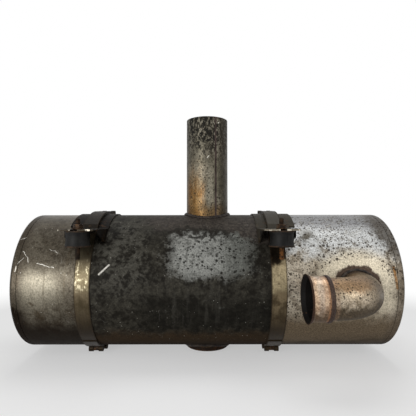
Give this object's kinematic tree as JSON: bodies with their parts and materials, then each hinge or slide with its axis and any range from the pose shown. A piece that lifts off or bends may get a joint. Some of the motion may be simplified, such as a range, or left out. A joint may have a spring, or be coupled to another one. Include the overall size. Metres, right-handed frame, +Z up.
{
  "type": "vehicle exhaust muffler",
  "caption": "Round cross-mounted truck muffler with an upright outlet pipe, a side inlet elbow with flared mouth, and strap clamps on rubber isolators.",
  "frame": {"origin": "centre of the rectangle of the lower isolator studs, in the plane of the lower plates' undersides, where the vehicle's bracket touches", "axes": "+X along the drum towards the inlet elbow, +Y to the rear, away from the inlet elbow's leg, +Z up along the outlet pipe"},
  "size_m": [0.81, 0.4875, 0.5514],
  "materials": {
    "drum_steel": "aluminised steel, heat-stained, pitted and dull",
    "head_steel": "aluminised steel, stained and dull",
    "outlet_steel": "tube steel, heat-stained, speckled with rust",
    "rusted_cap_steel": "mild steel, rusted brown",
    "elbow_steel": "tube steel, straw-coloured heat tint, pitted",
    "adapter_steel": "tube steel, copper-pink heat tint",
    "inner_steel": "aluminised steel, sooty",
    "saddle_steel": "mild steel, dark with worn bright edges",
    "strap_steel": "strip steel, bronze-brown stain, rubbed bright in places",
    "isolator_rubber": "moulded black rubber, satin",
    "stud_steel": "steel, rust-brown",
    "fastener_steel": "steel, rust-brown"
  },
  "bodies": {
    "root": {"baffle_left": "inner_steel", "baffle_right": "inner_steel", "head_left": "head_steel", "head_right": "head_steel", "inlet_adapter": "adapter_steel", "inlet_elbow": "elbow_steel", "inlet_inner_tube": "inner_steel", "isolator_lower_stud_front_left": "stud_steel", "isolator_lower_stud_front_right": "stud_steel", "isolator_lower_stud_rear_left": "stud_steel", "isolator_lower_stud_rear_right": "stud_steel", "isolator_rubber_front_left": "isolator_rubber", "isolator_rubber_front_right": "isolator_rubber", "isolator_rubber_rear_left": "isolator_rubber", "isolator_rubber_rear_right": "isolator_rubber", "isolator_upper_stud_front_left": "stud_steel", "isolator_upper_stud_front_right": "stud_steel", "isolator_upper_stud_rear_left": "stud_steel", "isolator_upper_stud_rear_right": "stud_steel", "outlet_bottom_cap": "rusted_cap_steel", "outlet_pipe": "outlet_steel", "return_tube_lower": "inner_steel", "return_tube_upper": "inner_steel", "saddle_left": "saddle_steel", "saddle_right": "saddle_steel", "shell": "drum_steel", "strap_front_left": "strap_steel", "strap_front_right": "strap_steel", "strap_nuts": "fastener_steel", "strap_rear_left": "strap_steel", "strap_rear_right": "strap_steel", "stud_nuts": "fastener_steel", "stud_washers": "fastener_steel", "t_bolt_bottom_left": "fastener_steel", "t_bolt_bottom_right": "fastener_steel", "t_bolt_top_left": "fastener_steel", "t_bolt_top_right": "fastener_steel", "transfer_tube_front": "inner_steel", "transfer_tube_rear": "inner_steel", "trunnion_bottom_left": "fastener_steel", "trunnion_bottom_right": "fastener_steel", "trunnion_top_left": "fastener_steel", "trunnion_top_right": "fastener_steel"}
  },
  "joints": []
}
